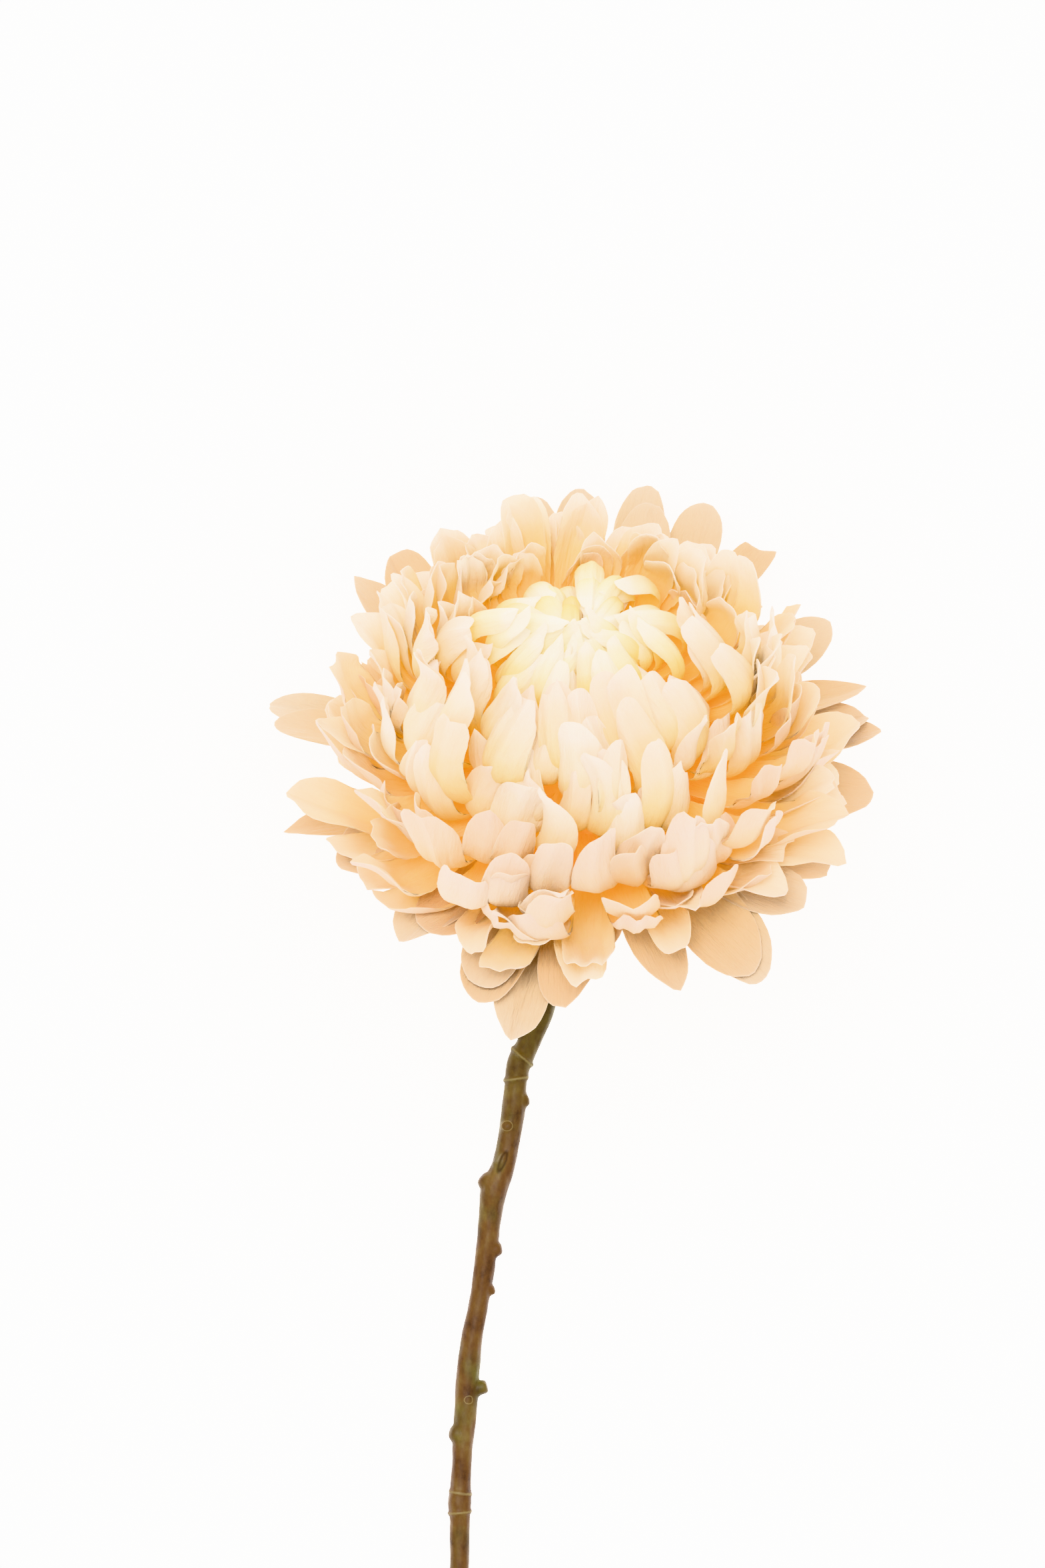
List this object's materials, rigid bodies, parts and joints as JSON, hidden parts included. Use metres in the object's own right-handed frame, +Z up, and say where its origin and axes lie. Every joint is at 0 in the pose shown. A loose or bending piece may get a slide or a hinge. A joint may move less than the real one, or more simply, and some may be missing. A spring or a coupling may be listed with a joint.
{
  "type": "artificial chrysanthemum",
  "caption": "Cut pompon chrysanthemum of layered, inward-curling cloth petals round a closed heart, on a knobbly moulded stem, lying on a surface as decoration.",
  "frame": {"origin": "centre of the bounding box's foot, on the surface that the flower lies on", "axes": "+Z up, +Y along the flower from the cut end of the stem to the bloom"},
  "size_m": [0.1503, 0.3418, 0.1109],
  "materials": {
    "stem_plastic": "moulded, olive brown with darker blotches",
    "calyx_plastic": "moulded, olive green",
    "outer_petal_cloth": "pressed satin cloth, dyed peach orange",
    "middle_petal_cloth": "pressed satin cloth, dyed pale peach",
    "heart_petal_cloth": "pressed satin cloth, dyed pale yellow"
  },
  "bodies": {
    "root": {"stem": "stem_plastic", "calyx": "calyx_plastic", "petals_outer": "outer_petal_cloth", "petals_middle": "middle_petal_cloth", "petals_heart": "heart_petal_cloth"}
  },
  "joints": []
}
